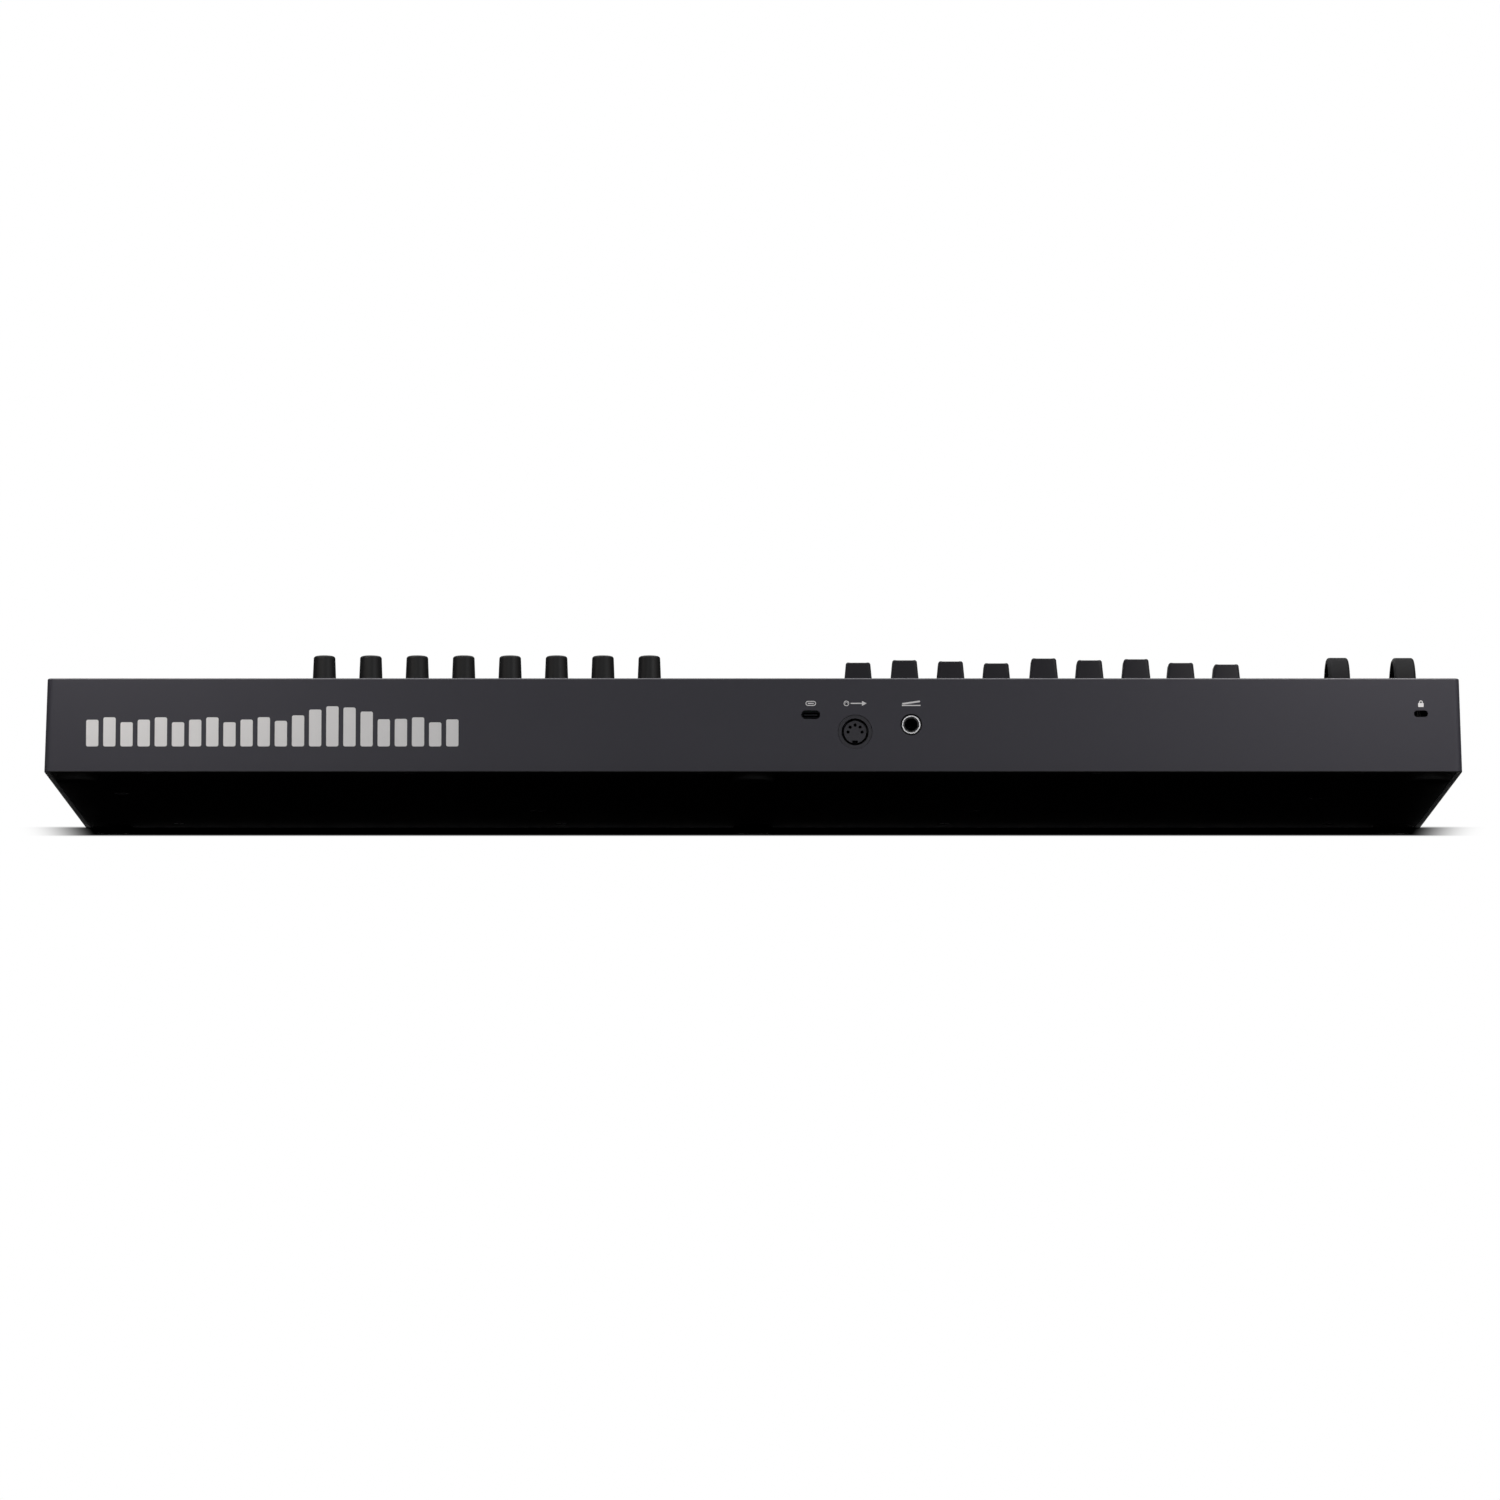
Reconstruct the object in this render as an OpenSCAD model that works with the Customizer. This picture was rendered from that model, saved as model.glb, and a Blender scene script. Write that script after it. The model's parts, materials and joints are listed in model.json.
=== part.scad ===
// Keyboard controller: 49 sprung keys, sixteen pads, eight knobs, nine faders and two wheels.
// The frame is +X to the player's right, -Y to the player, +Y to the socket wall and +Z up.
// The origin is under the middle of the case, on the surface that the rubber feet stand on.

/* [Case] */
// Width of the case along its bottom edge
case_w = 700; // [697:0.5:706]
// Depth of the case from the player's edge to the socket wall
case_d = 264; // [263:0.5:268]
// Height of the panel above the table
case_top = 49.7; // [49.5:0.1:51]
// Inward lean of each side wall over its whole height
side_draft = 1.2; // [0:0.1:1.5]
// Thickness of the outer walls
wall = 2.6; // [2.4:0.1:2.8]
// Thickness of the top panel
panel_t = 2.5; // [2.2:0.1:2.7]
// Thickness of the bottom plate
base_t = 3; // [2.6:0.1:3]
// Height of the rubber feet below the bottom plate
foot_h = 3.3; // [3:0.1:3.5]

/* [Keys] */
// Spacing of the white keys
white_pitch = 23.5; // [23.3:0.1:23.5]
// Height of the white keys above the table
white_top = 42; // [41.5:0.1:42.5]
// Height of the black keys above the table
black_top = 52.5; // [51.5:0.1:53]
// Gap between neighbouring keys
key_gap = 1; // [0.8:0.1:1.2]
// Length of the black caps
black_len = 85.5; // [80:0.5:88]

/* [Controls] */
// Spacing of the knobs and of the pad columns
knob_pitch = 23.1; // [22.8:0.1:23.2]
// Height of the knobs and fader caps above the table
control_top = 64.4; // [62:0.1:66]
// Diameter of a knob at its foot
knob_foot_d = 11.8; // [11:0.1:12]
// Diameter of a knob at its top
knob_top_d = 10.8; // [10:0.1:11]
// Spacing of the faders
fader_pitch = 23.1; // [22.8:0.1:23.2]
// Travel of a fader
fader_travel = 45; // [40:1:45]
// Radius of the wheels
wheel_r = 24; // [23:0.5:24]
// Width of the wheels' treads
wheel_w = 10.6; // [9.6:0.1:11]
// Side of a square pad
pad_side = 20; // [19:0.5:20.5]

/* [Sockets] */
// Radius of the pedal socket's bore
jack_bore_r = 3.2; // [3.19:0.01:3.25]
// Diameter of the round five pin socket's face
midi_face_d = 16.8; // [16:0.1:17]

/* [Hidden] */

$fn = 48;
eps = 0.01;

// Heights of the case
base_top = foot_h + base_t;
panel_under = case_top - panel_t;
front = -case_d / 2;
rear = case_d / 2;

// Keybed opening
white_count = 29;
key_count = 49;
keybed_w = white_count * white_pitch;
bed_w = keybed_w + 1.5;
bed_rear = 11;
front_rail_top = 26;
panel_lip_z = 43.6;
panel_lip_t = 2.5;
cheek_t = 2;

// Key shape
key_front = front + 3.5;
head_len = 51;
head_rear = key_front + head_len;
skirt_z = 30;
lip_z = 22;
lip_t = 1.8;
key_shell = 1.5;
key_deck = 2;
tail_step = 14;
tail_end = 50;
tail_w = 8;
tail_z0 = 26.8;
tail_z1 = 34;
black_w = 12.4;
black_top_w = 9.8;
black_front = head_rear + key_gap;
black_rear = black_front + black_len;

// Key pivots, springs and stops
pivot_y = 40;
pivot_z = 30.4;
rod_r = 1.5;
rod_clear = 0.05;
spring_y = 43;
spring_r = 1.9;
spring_turns = 9;
frame_z0 = 8;
frame_z1 = 10;
down_stop_y = -110;
down_stop_z = 18.4;
felt_t = 2;
up_stop_y = 48;
up_stop_z = 24.5;
contact_z = 20;
board_t = 1.6;
contact_y0 = -46;
contact_y1 = -4;
dome_y = -25;
dome_top = 25.8;

// Boards under the panel
control_z = 38;
control_top_z = control_z + board_t;
main_z = 33.2;

// Rows of controls
knob_x0 = 51.7;
knob_y = rear - 30;
knob_z0 = case_top + 0.7;
shaft_r = 3;
fader_x0 = -52.5;
fader_mid_y = rear - 52.5;
fader_z0 = case_top + 0.5;
// Where the faders stand at rest, from the middle of their slots, the player's right-hand one first
fader_rest = [-7.5, 2, -2.5, -10, 9, 2, 6, -8.5, -14.5];
cap_len = 22;
cap_w = 14.7;
cap_top_len = 16;
cap_top_w = 12;
cap_dish_r = 36;
cap_dish = 1.4;
cap_wall = 1.6;
cap_hollow_h = 8;
cap_hollow_end = cap_top_len / 2 - 0.2;
cap_grip_h = 9;
lever_w = 1.2;
lever_len = 4;
pad_rows = [70, 45];
button_y_low = 36;
octave_y = 38;
travel_room = 0.3;

// Wheels
mod_x = -291.5;
pitch_x = -324.2;
wheel_y = rear - 45;
wheel_z = case_top + 15.7 - wheel_r;
wheel_round = 1.5;
hub_r = 6;
rim_t = 3;
side_hollow = 2.2;
groove_r = 10;
groove_depth = 1.9;
axle_r = 2;
axle_len = 18.4;

// Rear wall openings and the sockets behind them
usb_cut = [9.4, 4.3];
usb_shell = [8.94, 3.26];
usb_shell_t = 0.3;
usb_x = -28.4;
usb_z = 31.5;
midi_x = -50.3;
midi_z = 23;
midi_gap_r = 6.7;
midi_insert_r = 5.5;
midi_pin_ring_r = 3.45;
midi_pin_r = 0.8;
midi_depth = 9;
jack_x = -78;
jack_z = 26.6;
jack_hole_r = 5.35;
jack_nose_r = 4.55;
lock_cut = [7, 3.4];
lock_x = -329.7;
lock_z = 32;

// Fixings
foot_r = 10.5;
foot_x = 335;
foot_front_y = -118;
foot_rear_y = 116;
rib_y = [-88, -28, 22];
rib_x = [-240, -80, 80, 240];
frame_screw_xy = [[319, 34], [111, -45], [-113, -45], [-285, 12],
    [-300, -108], [-100, -108], [100, -108], [300, -108]];
corner_r = 3;
edge_r = 0.8;
edge_steps = 6;
case_screw_xy = [[-300, 122], [-170, 122], [25, 122], [170, 122], [300, 122]];
main_screw_xy = [[-105, 76], [-12, 76], [-105, 120], [-16, 108]];
screw_r = 1.4;
pilot_r = 1.45;
screw_head_r = 3;

// ---------- helpers ----------

// A box between two corners
module block(x0, x1, y0, y1, z0, z1) translate([x0, y0, z0]) cube([x1 - x0, y1 - y0, z1 - z0]);

// An outline drawn in Y and Z, given width along X about x
module prism_x(points, w, x = 0) translate([x, 0, 0]) rotate([90, 0, 90])
    linear_extrude(w, center = true) polygon(points);

// An outline drawn in X and Z, given depth along Y about y
module prism_y(points, d, y = 0) translate([0, y, 0]) rotate([90, 0, 0])
    linear_extrude(d, center = true) polygon(points);

// A cylinder along Y between two planes
module rod_y(x, z, r, y0, y1) translate([x, y1, z]) rotate([90, 0, 0]) cylinder(r = r, h = y1 - y0);

// A cylinder along X between two planes
module rod_x(y, z, r, x0, x1) translate([x0, y, z]) rotate([0, 90, 0]) cylinder(r = r, h = x1 - x0);

// A slot with round ends, long along X, cut along Y
module slot_y(x, z, w, h, y0, y1) {
    r = h / 2;
    block(x - w / 2 + r, x + w / 2 - r, y0, y1, z - r, z + r);
    for (s = [-1, 1]) rod_y(x + s * (w / 2 - r), z, r, y0, y1);
}

// ---------- places that repeat ----------

function knob_x(i) = knob_x0 + i * knob_pitch;
function fader_x(i) = fader_x0 - i * fader_pitch;
function is_black(p) = p == 1 || p == 3 || p == 6 || p == 8 || p == 10;
function white_step(p) = p < 5 ? floor(p / 2) : floor((p + 1) / 2);
function slot_w(p) = p < 5 ? 3 * white_pitch / 5 : 4 * white_pitch / 7;
function slot_x(p) = p < 5 ? p * slot_w(0) : 3 * white_pitch + (p - 5) * slot_w(5);
function octave_x(o) = -keybed_w / 2 + o * 7 * white_pitch;
function key_mid(k) = octave_x(floor(k / 12)) + slot_x(k % 12) + slot_w(k % 12) / 2;

// Middles and sizes of the panel's buttons
transport_xy = [for (y = [105, 85, 62, 42]) for (x = [248, 283, 318]) [x, y]];
transport_size = [28, 10];
navigation_xy = [for (y = [62, 42]) for (x = [-24, -8, 8, 24]) [x, y]];
navigation_size = [12, 8];
octave_xy = [[pitch_x, octave_y], [mod_x, octave_y]];
octave_size = [22, 10];
fader_button_xy = [for (i = [0:8]) [fader_x(i), button_y_low]];
fader_button_size = [16, 7];
function pad_xy(row) = [for (i = [0:7]) [knob_x(i), pad_rows[row]]];
pad_size = [pad_side, pad_side];
button_z0 = control_top_z + 1.6;
button_top = case_top + 1.3;
pad_top = case_top + 1.9;
display_w = 60;
display_d = 36;
display_y = 94;

// ---------- case ----------

module case_outline(inset, z0, z1, d) {
    lean = side_draft / (case_top - foot_h);
    low = case_w / 2 - inset - lean * (z0 - foot_h);
    high = case_w / 2 - inset - lean * (z1 - foot_h);
    prism_y([[-low, z0], [low, z0], [high, z1], [-high, z1]], d);
}

// The case's own block: leaning ends, upright corners and a rounded top edge
function case_half_w(z) = case_w / 2 - side_draft * (z - foot_h) / (case_top - foot_h);
function case_ring(z, inset) = [for (k = [0:3]) for (i = [0:edge_steps])
    let (a = 90 * (k + i / edge_steps), r = corner_r - inset)
    [(k == 0 || k == 3 ? 1 : -1) * (case_half_w(z) - corner_r) + r * cos(a),
        (k < 2 ? 1 : -1) * (case_d / 2 - corner_r) + r * sin(a), z]];
module case_block() {
    rings = concat([case_ring(foot_h, 0)], [for (j = [0:edge_steps]) let (a = 90 * j / edge_steps)
        case_ring(case_top - edge_r * (1 - sin(a)), edge_r * (1 - cos(a)))]);
    n = 4 * (edge_steps + 1);
    last = len(rings) - 1;
    polyhedron(points = [for (ring = rings) each ring],
        faces = concat([[for (i = [0:n - 1]) i]], [[for (i = [n - 1:-1:0]) last * n + i]],
            [for (l = [0:last - 1]) for (i = [0:n - 1]) let (j = (i + 1) % n)
                [l * n + i, (l + 1) * n + i, (l + 1) * n + j, l * n + j]]));
}

module button_holes(places, size) for (p = places)
    block(p.x - size.x / 2 - travel_room, p.x + size.x / 2 + travel_room,
        p.y - size.y / 2 - travel_room, p.y + size.y / 2 + travel_room, panel_under - 1, case_top + 1);

module panel_cuts() {
    for (i = [0:7]) translate([knob_x(i), knob_y, panel_under - 1]) cylinder(r = shaft_r + 0.6, h = panel_t + 2);
    for (i = [0:8]) block(fader_x(i) - 1.2, fader_x(i) + 1.2, fader_mid_y - fader_travel / 2 - 3,
        fader_mid_y + fader_travel / 2 + 3, panel_under - 1, case_top + 1);
    for (x = [pitch_x, mod_x]) block(x - wheel_w / 2 - 1.3, x + wheel_w / 2 + 1.3, wheel_y - wheel_r,
        wheel_y + wheel_r, panel_under - 1, case_top + 1);
    for (row = [0, 1]) button_holes(pad_xy(row), pad_size);
    button_holes(transport_xy, transport_size);
    button_holes(navigation_xy, navigation_size);
    button_holes(octave_xy, octave_size);
    button_holes(fader_button_xy, fader_button_size);
    block(-display_w / 2 - 0.1, display_w / 2 + 0.1, display_y - display_d / 2 - 0.1,
        display_y + display_d / 2 + 0.1, panel_under - 1, case_top + 1);
}

module rear_cuts() {
    slot_y(usb_x, usb_z, usb_cut.x, usb_cut.y, rear - wall - 1, rear + 1);
    rod_y(midi_x, midi_z, midi_face_d / 2 + 0.15, rear - wall - 1, rear + 1);
    rod_y(jack_x, jack_z, jack_hole_r, rear - wall - 1, rear + 1);
    slot_y(lock_x, lock_z, lock_cut.x, lock_cut.y, rear - wall - 1, rear + 1);
}

// Shell with the panel, the rear and side walls, the cheeks and the rail in front of the keys
module top_case() color([0.2, 0.2, 0.21]) difference() {
    union() {
        difference() {
            case_block();
            case_outline(wall, foot_h - 1, panel_under, case_d - 2 * wall);
            block(-bed_w / 2, bed_w / 2, front - 1, bed_rear, front_rail_top, case_top + 1);
        }
        for (s = [-1, 1]) block(min(s * bed_w / 2, s * (bed_w / 2 + cheek_t)),
            max(s * bed_w / 2, s * (bed_w / 2 + cheek_t)), front + wall - eps, bed_rear + panel_lip_t,
            base_top + 0.3, panel_under + eps);
        block(-bed_w / 2 - eps, bed_w / 2 + eps, bed_rear, bed_rear + panel_lip_t, panel_lip_z, panel_under + eps);
        for (p = case_screw_xy) translate([p.x, p.y, base_top]) cylinder(r = 3.6, h = panel_under - base_top + eps);
    }
    for (p = case_screw_xy) translate([p.x, p.y, base_top - 1]) cylinder(r = pilot_r, h = 13);
    panel_cuts();
    rear_cuts();
}

// Flat plate under everything, with ribs for the key frame and posts for the socket board
module bottom_case() color([0.06, 0.06, 0.065]) union() {
    difference() {
        case_outline(wall + 0.3, foot_h, base_top, case_d - 2 * wall - 0.6);
        for (p = concat(frame_screw_xy, case_screw_xy)) translate([p.x, p.y, foot_h - 1]) {
            cylinder(r = 1.8, h = base_t + 2);
            cylinder(r = screw_head_r + 0.4, h = 2.8);
        }
        for (x = [-foot_x, 0, foot_x]) for (y = [foot_front_y, foot_rear_y])
            translate([x, y, foot_h - 1]) cylinder(r = foot_r + 0.15, h = 1.6);
    }
    for (y = rib_y) for (x = rib_x) block(x - 70, x + 70, y - 1, y + 1, base_top - 1, frame_z0);
    for (p = main_screw_xy) translate([p.x, p.y, base_top - 1]) difference() {
        cylinder(r = 3, h = main_z - base_top + 1);
        translate([0, 0, main_z - base_top - 7]) cylinder(r = pilot_r, h = 9);
    }
}

module rubber_feet() color([0.03, 0.03, 0.03]) for (x = [-foot_x, 0, foot_x]) for (y = [foot_front_y, foot_rear_y])
    translate([x, y, 0]) rotate_extrude() {
        square([foot_r - 1.4, foot_h + 0.6]);
        translate([0, 1.4]) square([foot_r, foot_h + 0.6 - 1.4]);
        intersection() {
            translate([foot_r - 1.4, 1.4]) circle(r = 1.4);
            square([foot_r, 1.4]);
        }
    }

// Pan head screw pointing up, with its head's face at z
module screw_up(x, y, z, len, head_h = 1.5, cross = true) translate([x, y, z]) difference() {
    union() {
        cylinder(r = screw_head_r, h = head_h);
        cylinder(r = screw_r, h = head_h + len);
    }
    if (cross) for (a = [0, 90]) rotate([0, 0, a]) translate([-1.7, -0.35, -1]) cube([3.4, 0.7, 1.9]);
}

module case_screws() color([0.3, 0.3, 0.31]) {
    for (p = concat(frame_screw_xy, case_screw_xy)) screw_up(p.x, p.y, foot_h + 0.25, 10);
}

// ---------- keybed ----------

module frame_boss(p) translate([p.x, p.y, base_top + 0.05]) cylinder(r = 4, h = 11);

// Floor, guide pins, stops and pivot brackets that carry the keys
module key_frame() color([0.12, 0.12, 0.13]) difference() {
    union() {
        block(-338, 338, front + 9, tail_end + 3, frame_z0, frame_z1);
        block(-338, 338, down_stop_y - 6, down_stop_y + 6, frame_z1 - eps, down_stop_z);
        block(-338, 338, up_stop_y - 2, up_stop_y + 2, frame_z1 - eps, up_stop_z);
        for (y = [contact_y0 + 3, contact_y1 - 3]) block(-334, 334, y - 1, y + 1, frame_z1 - eps, contact_z);
        for (o = [0:5]) {
            x = o == 0 ? octave_x(0) + 1.5 : o == 5 ? -octave_x(0) - 3 : octave_x(o);
            prism_x([[pivot_y - 9, frame_z1 - eps], [pivot_y + 6, frame_z1 - eps],
                [pivot_y + 4, pivot_z + 3.4], [pivot_y - 4, pivot_z + 3.4]], 2.4, x);
        }
        for (o = [0:3]) for (w = [0:6]) guide_pin(octave_x(o) + (w + 0.5) * white_pitch);
        guide_pin(octave_x(4) + 0.5 * white_pitch);
        for (p = frame_screw_xy) frame_boss(p);
    }
    for (p = frame_screw_xy) translate([p.x, p.y, base_top - 1]) cylinder(r = pilot_r, h = 11);
    rod_x(pivot_y, pivot_z, rod_r + 0.01, -345, 345);
    block(ribbon_x - 5, ribbon_x + 5, contact_y0, up_stop_y + 3, 12, 16);
}

module guide_pin(x) block(x - 3, x + 3, -98, -92, frame_z1 - eps, 27);

module key_pivot_rod() color([0.7, 0.7, 0.72]) rod_x(pivot_y, pivot_z, rod_r, -340.5, 340.5);

module key_felts() color([0.5, 0.1, 0.1]) {
    block(-337, 337, down_stop_y - 5, down_stop_y + 5, down_stop_z, down_stop_z + felt_t);
    block(-337, 337, up_stop_y - 1.9, up_stop_y + 1.9, up_stop_z, tail_z0 - 0.15);
}

// Close-wound return springs under the tails, behind the pivot rod
module key_springs() color([0.75, 0.75, 0.78]) for (k = [0:key_count - 1])
    translate([key_mid(k), spring_y, frame_z1]) rotate_extrude() spring_outline(tail_z0 - 0.15 - frame_z1);

module spring_outline(h) {
    step = h / spring_turns;
    polygon(concat([[0.9, 0]], [for (i = [0:spring_turns - 1]) each
        [[spring_r - 0.4, i * step], [spring_r, (i + 0.5) * step]]], [[spring_r - 0.4, h], [0.9, h]]));
}

module key_contact_board() color([0.05, 0.25, 0.12])
    block(-335, 335, contact_y0, contact_y1, contact_z, contact_z + board_t);

// Rubber strip with one dome under each key
module key_contact_strip() color([0.55, 0.55, 0.55]) {
    z = contact_z + board_t;
    block(-334, 334, dome_y - 9, dome_y + 9, z, z + 1);
    for (k = [0:key_count - 1]) translate([key_mid(k), dome_y, z + 1 - eps])
        cylinder(r1 = 4.4, r2 = 2.6, h = dome_top - z - 1);
}

module pivot_tail(k, y0) difference() {
    block(key_mid(k) - tail_w / 2, key_mid(k) + tail_w / 2, y0, tail_end, tail_z0, tail_z1);
    rod_x(pivot_y, pivot_z, rod_r + rod_clear, key_mid(k) - tail_w, key_mid(k) + tail_w);
}

module white_key(k) {
    p = k % 12;
    x0 = octave_x(floor(k / 12));
    last = k == key_count - 1;
    head = x0 + white_step(p) * white_pitch + key_gap / 2;
    head_w = white_pitch - key_gap;
    side = x0 + slot_x(p) + key_gap / 2;
    side_w = (last ? white_pitch : slot_w(p)) - key_gap;
    union() {
        difference() {
            union() {
                block(head, head + head_w, key_front, head_rear, skirt_z, white_top);
                block(head, head + head_w, key_front, key_front + lip_t, lip_z, white_top);
                block(side, side + side_w, head_rear - 1, tail_step, skirt_z, white_top);
            }
            block(head + key_shell, head + head_w - key_shell, key_front + lip_t, head_rear - key_shell,
                skirt_z - 1, white_top - key_deck);
            block(side + key_shell, side + side_w - key_shell, head_rear - 4, dome_y - 1,
                skirt_z - 1, white_top - key_deck);
            block(side + key_shell, side + side_w - key_shell, dome_y + 1, tail_step - key_shell,
                skirt_z - 1, white_top - key_deck);
        }
        pivot_tail(k, tail_step - 1);
    }
}

module black_key(k) {
    x = key_mid(k);
    half = black_w / 2;
    half_top = black_top_w / 2;
    union() {
        difference() {
            intersection() {
                prism_x([[black_front, skirt_z], [black_front, white_top - 1], [black_front + 5.5, black_top],
                    [black_rear, black_top], [black_rear, skirt_z]], black_w + 1, x);
                translate([x, 0, 0]) prism_y([[-half, skirt_z], [half, skirt_z], [half, white_top],
                    [half_top, black_top], [-half_top, black_top], [-half, white_top]], case_d);
            }
            block(x - half + key_shell, x + half - key_shell, black_front + key_shell, dome_y - 1,
                skirt_z - 1, white_top - 1);
            block(x - half + key_shell, x + half - key_shell, dome_y + 1, black_rear - key_shell,
                skirt_z - 1, white_top - 1);
        }
        block(x - tail_w / 2, x + tail_w / 2, black_rear - 1, tail_step, skirt_z, tail_z1);
        pivot_tail(k, tail_step - 1);
    }
}

// Every key of one note, in all octaves
module note_keys(p) for (k = [p:12:key_count - 1]) {
    if (is_black(p)) black_key(k);
    else white_key(k);
}

white_colour = [0.93, 0.93, 0.91];
black_colour = [0.05, 0.05, 0.05];
module keys_c() color(white_colour) note_keys(0);
module keys_c_sharp() color(black_colour) note_keys(1);
module keys_d() color(white_colour) note_keys(2);
module keys_d_sharp() color(black_colour) note_keys(3);
module keys_e() color(white_colour) note_keys(4);
module keys_f() color(white_colour) note_keys(5);
module keys_f_sharp() color(black_colour) note_keys(6);
module keys_g() color(white_colour) note_keys(7);
module keys_g_sharp() color(black_colour) note_keys(8);
module keys_a() color(white_colour) note_keys(9);
module keys_a_sharp() color(black_colour) note_keys(10);
module keys_b() color(white_colour) note_keys(11);

// ---------- controls ----------

module control_board() color([0.05, 0.25, 0.12]) {
    block(-344, -262, 20, 56, control_z, control_top_z);
    block(-262 - eps, 344, 20, 117, control_z, control_top_z);
}

// Slide potentiometers with an open track for the lever
module fader_units() color([0.6, 0.6, 0.62]) for (i = [0:8]) difference() {
    block(fader_x(i) - 4.5, fader_x(i) + 4.5, fader_mid_y - 30, fader_mid_y + 30, control_top_z, control_top_z + 7);
    block(fader_x(i) - 1, fader_x(i) + 1, fader_mid_y - fader_travel / 2 - 3, fader_mid_y + fader_travel / 2 + 3,
        control_top_z + 2, control_top_z + 8);
}

module encoder_units() color([0.62, 0.62, 0.6]) for (i = [0:7]) translate([knob_x(i), knob_y, control_top_z])
    difference() {
        union() {
            translate([-6, -6, 0]) cube([12, 12, 6]);
            cylinder(r = 4.5, h = 7.2);
        }
        translate([0, 0, 1.5]) cylinder(r = shaft_r + 0.05, h = 8);
    }

// Knob with a rounded rim, on the encoder's shaft
module knob(i) translate([knob_x(i), knob_y, 0]) {
    rim = 1.3;
    foot = knob_foot_d / 2;
    top = knob_top_d / 2;
    color([0.1, 0.1, 0.11]) rotate_extrude() difference() {
        union() {
            polygon([[0, knob_z0], [foot, knob_z0], [top, control_top - rim], [0, control_top - rim]]);
            square_between(0, top - rim, knob_z0, control_top);
            translate([top - rim, control_top - rim]) circle(r = rim);
        }
        square_between(-1, shaft_r + 0.02, knob_z0 - 1, control_top - 3);
    }
    color([0.7, 0.7, 0.7]) translate([0, 0, control_top_z + 2])
        cylinder(r = shaft_r, h = control_top - 3.2 - control_top_z - 2);
}

module square_between(x0, x1, y0, y1) translate([x0, y0]) square([x1 - x0, y1 - y0]);

module knob_1() knob(0);
module knob_2() knob(1);
module knob_3() knob(2);
module knob_4() knob(3);
module knob_5() knob(4);
module knob_6() knob(5);
module knob_7() knob(6);
module knob_8() knob(7);

// Tapered cap with a finger hollow on top, and the lever that carries it
module fader(i) translate([fader_x(i), fader_mid_y + fader_rest[i], 0]) {
    color([0.14, 0.14, 0.15]) difference() {
        intersection() {
            prism_x([[-cap_len / 2, fader_z0], [cap_len / 2, fader_z0], [cap_top_len / 2, control_top],
                [-cap_top_len / 2, control_top]], cap_w + 1);
            prism_y([[-cap_w / 2, fader_z0], [cap_w / 2, fader_z0], [cap_top_w / 2, control_top],
                [-cap_top_w / 2, control_top]], cap_len + 1);
        }
        translate([0, 0, control_top + cap_dish_r - cap_dish]) sphere(r = cap_dish_r, $fn = 96);
        block(-lever_w / 2 - 0.02, lever_w / 2 + 0.02, -lever_len / 2 - 0.02, lever_len / 2 + 0.02,
            fader_z0 - 1, fader_z0 + cap_grip_h);
        for (s = [0, 180]) rotate([0, 0, s]) block(-cap_top_w / 2 + cap_wall, cap_top_w / 2 - cap_wall,
            lever_len / 2 + cap_wall, cap_hollow_end, fader_z0 - 1, fader_z0 + cap_hollow_h);
    }
    color([0.7, 0.7, 0.7]) block(-lever_w / 2, lever_w / 2, -lever_len / 2, lever_len / 2,
        control_top_z + 2.4, fader_z0 + cap_grip_h - 0.2);
}

module fader_1() fader(0);
module fader_2() fader(1);
module fader_3() fader(2);
module fader_4() fader(3);
module fader_5() fader(4);
module fader_6() fader(5);
module fader_7() fader(6);
module fader_8() fader(7);
module fader_9() fader(8);

// Wheel with a rounded tread, hollow sides, an axle and a thumb groove at the given angle from the top
module wheel(x, groove) translate([x, wheel_y, wheel_z]) rotate([0, 90, 0]) color([0.12, 0.12, 0.13]) difference() {
    union() {
        difference() {
            rotate_extrude($fn = 96) {
                square_between(0, wheel_r - wheel_round, -wheel_w / 2, wheel_w / 2);
                square_between(0, wheel_r, -wheel_w / 2 + wheel_round, wheel_w / 2 - wheel_round);
                for (s = [-1, 1]) translate([wheel_r - wheel_round, s * (wheel_w / 2 - wheel_round)])
                    circle(r = wheel_round);
            }
            for (s = [0, 180]) rotate([s, 0, 0]) rotate_extrude($fn = 96)
                square_between(hub_r, wheel_r - rim_t, wheel_w / 2 - side_hollow, wheel_w / 2 + 1);
        }
        cylinder(r = axle_r, h = axle_len, center = true);
    }
    rotate([0, 0, 180 + groove]) translate([wheel_r + groove_r - groove_depth, 0, 0])
        cylinder(r = groove_r, h = wheel_w + 2, center = true);
}

module pitch_wheel() wheel(pitch_x, 0);
module mod_wheel() wheel(mod_x, 40);

// Two U brackets with the wheels' bearings and a sensor body beside each
module wheel_cradles() color([0.15, 0.15, 0.16]) for (x = [pitch_x, mod_x]) difference() {
    union() {
        block(x - 8.6, x + 8.6, wheel_y - 14, wheel_y + 14, base_top + 0.2, base_top + 3.2);
        for (s = [-1, 1]) prism_x([[wheel_y - 14, base_top + 1], [wheel_y + 14, base_top + 1],
            [wheel_y + 5, wheel_z + 5], [wheel_y - 5, wheel_z + 5]], 2.2, x + s * 7.5);
        block(x + 8.5, x + 12.5, wheel_y - 6, wheel_y + 6, wheel_z - 9, wheel_z - 3.2);
    }
    rod_x(wheel_y, wheel_z, axle_r + 0.04, x - 10, x + 10);
}

// Coil around the pitch wheel's axle, outside its bracket
module wheel_spring() color([0.75, 0.75, 0.78]) translate([pitch_x - 8.75, wheel_y, wheel_z]) rotate([0, -90, 0])
    for (i = [0:3]) translate([0, 0, 0.5 + i]) rotate_extrude() translate([3.4, 0]) circle(r = 0.52, $fn = 24);

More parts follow.
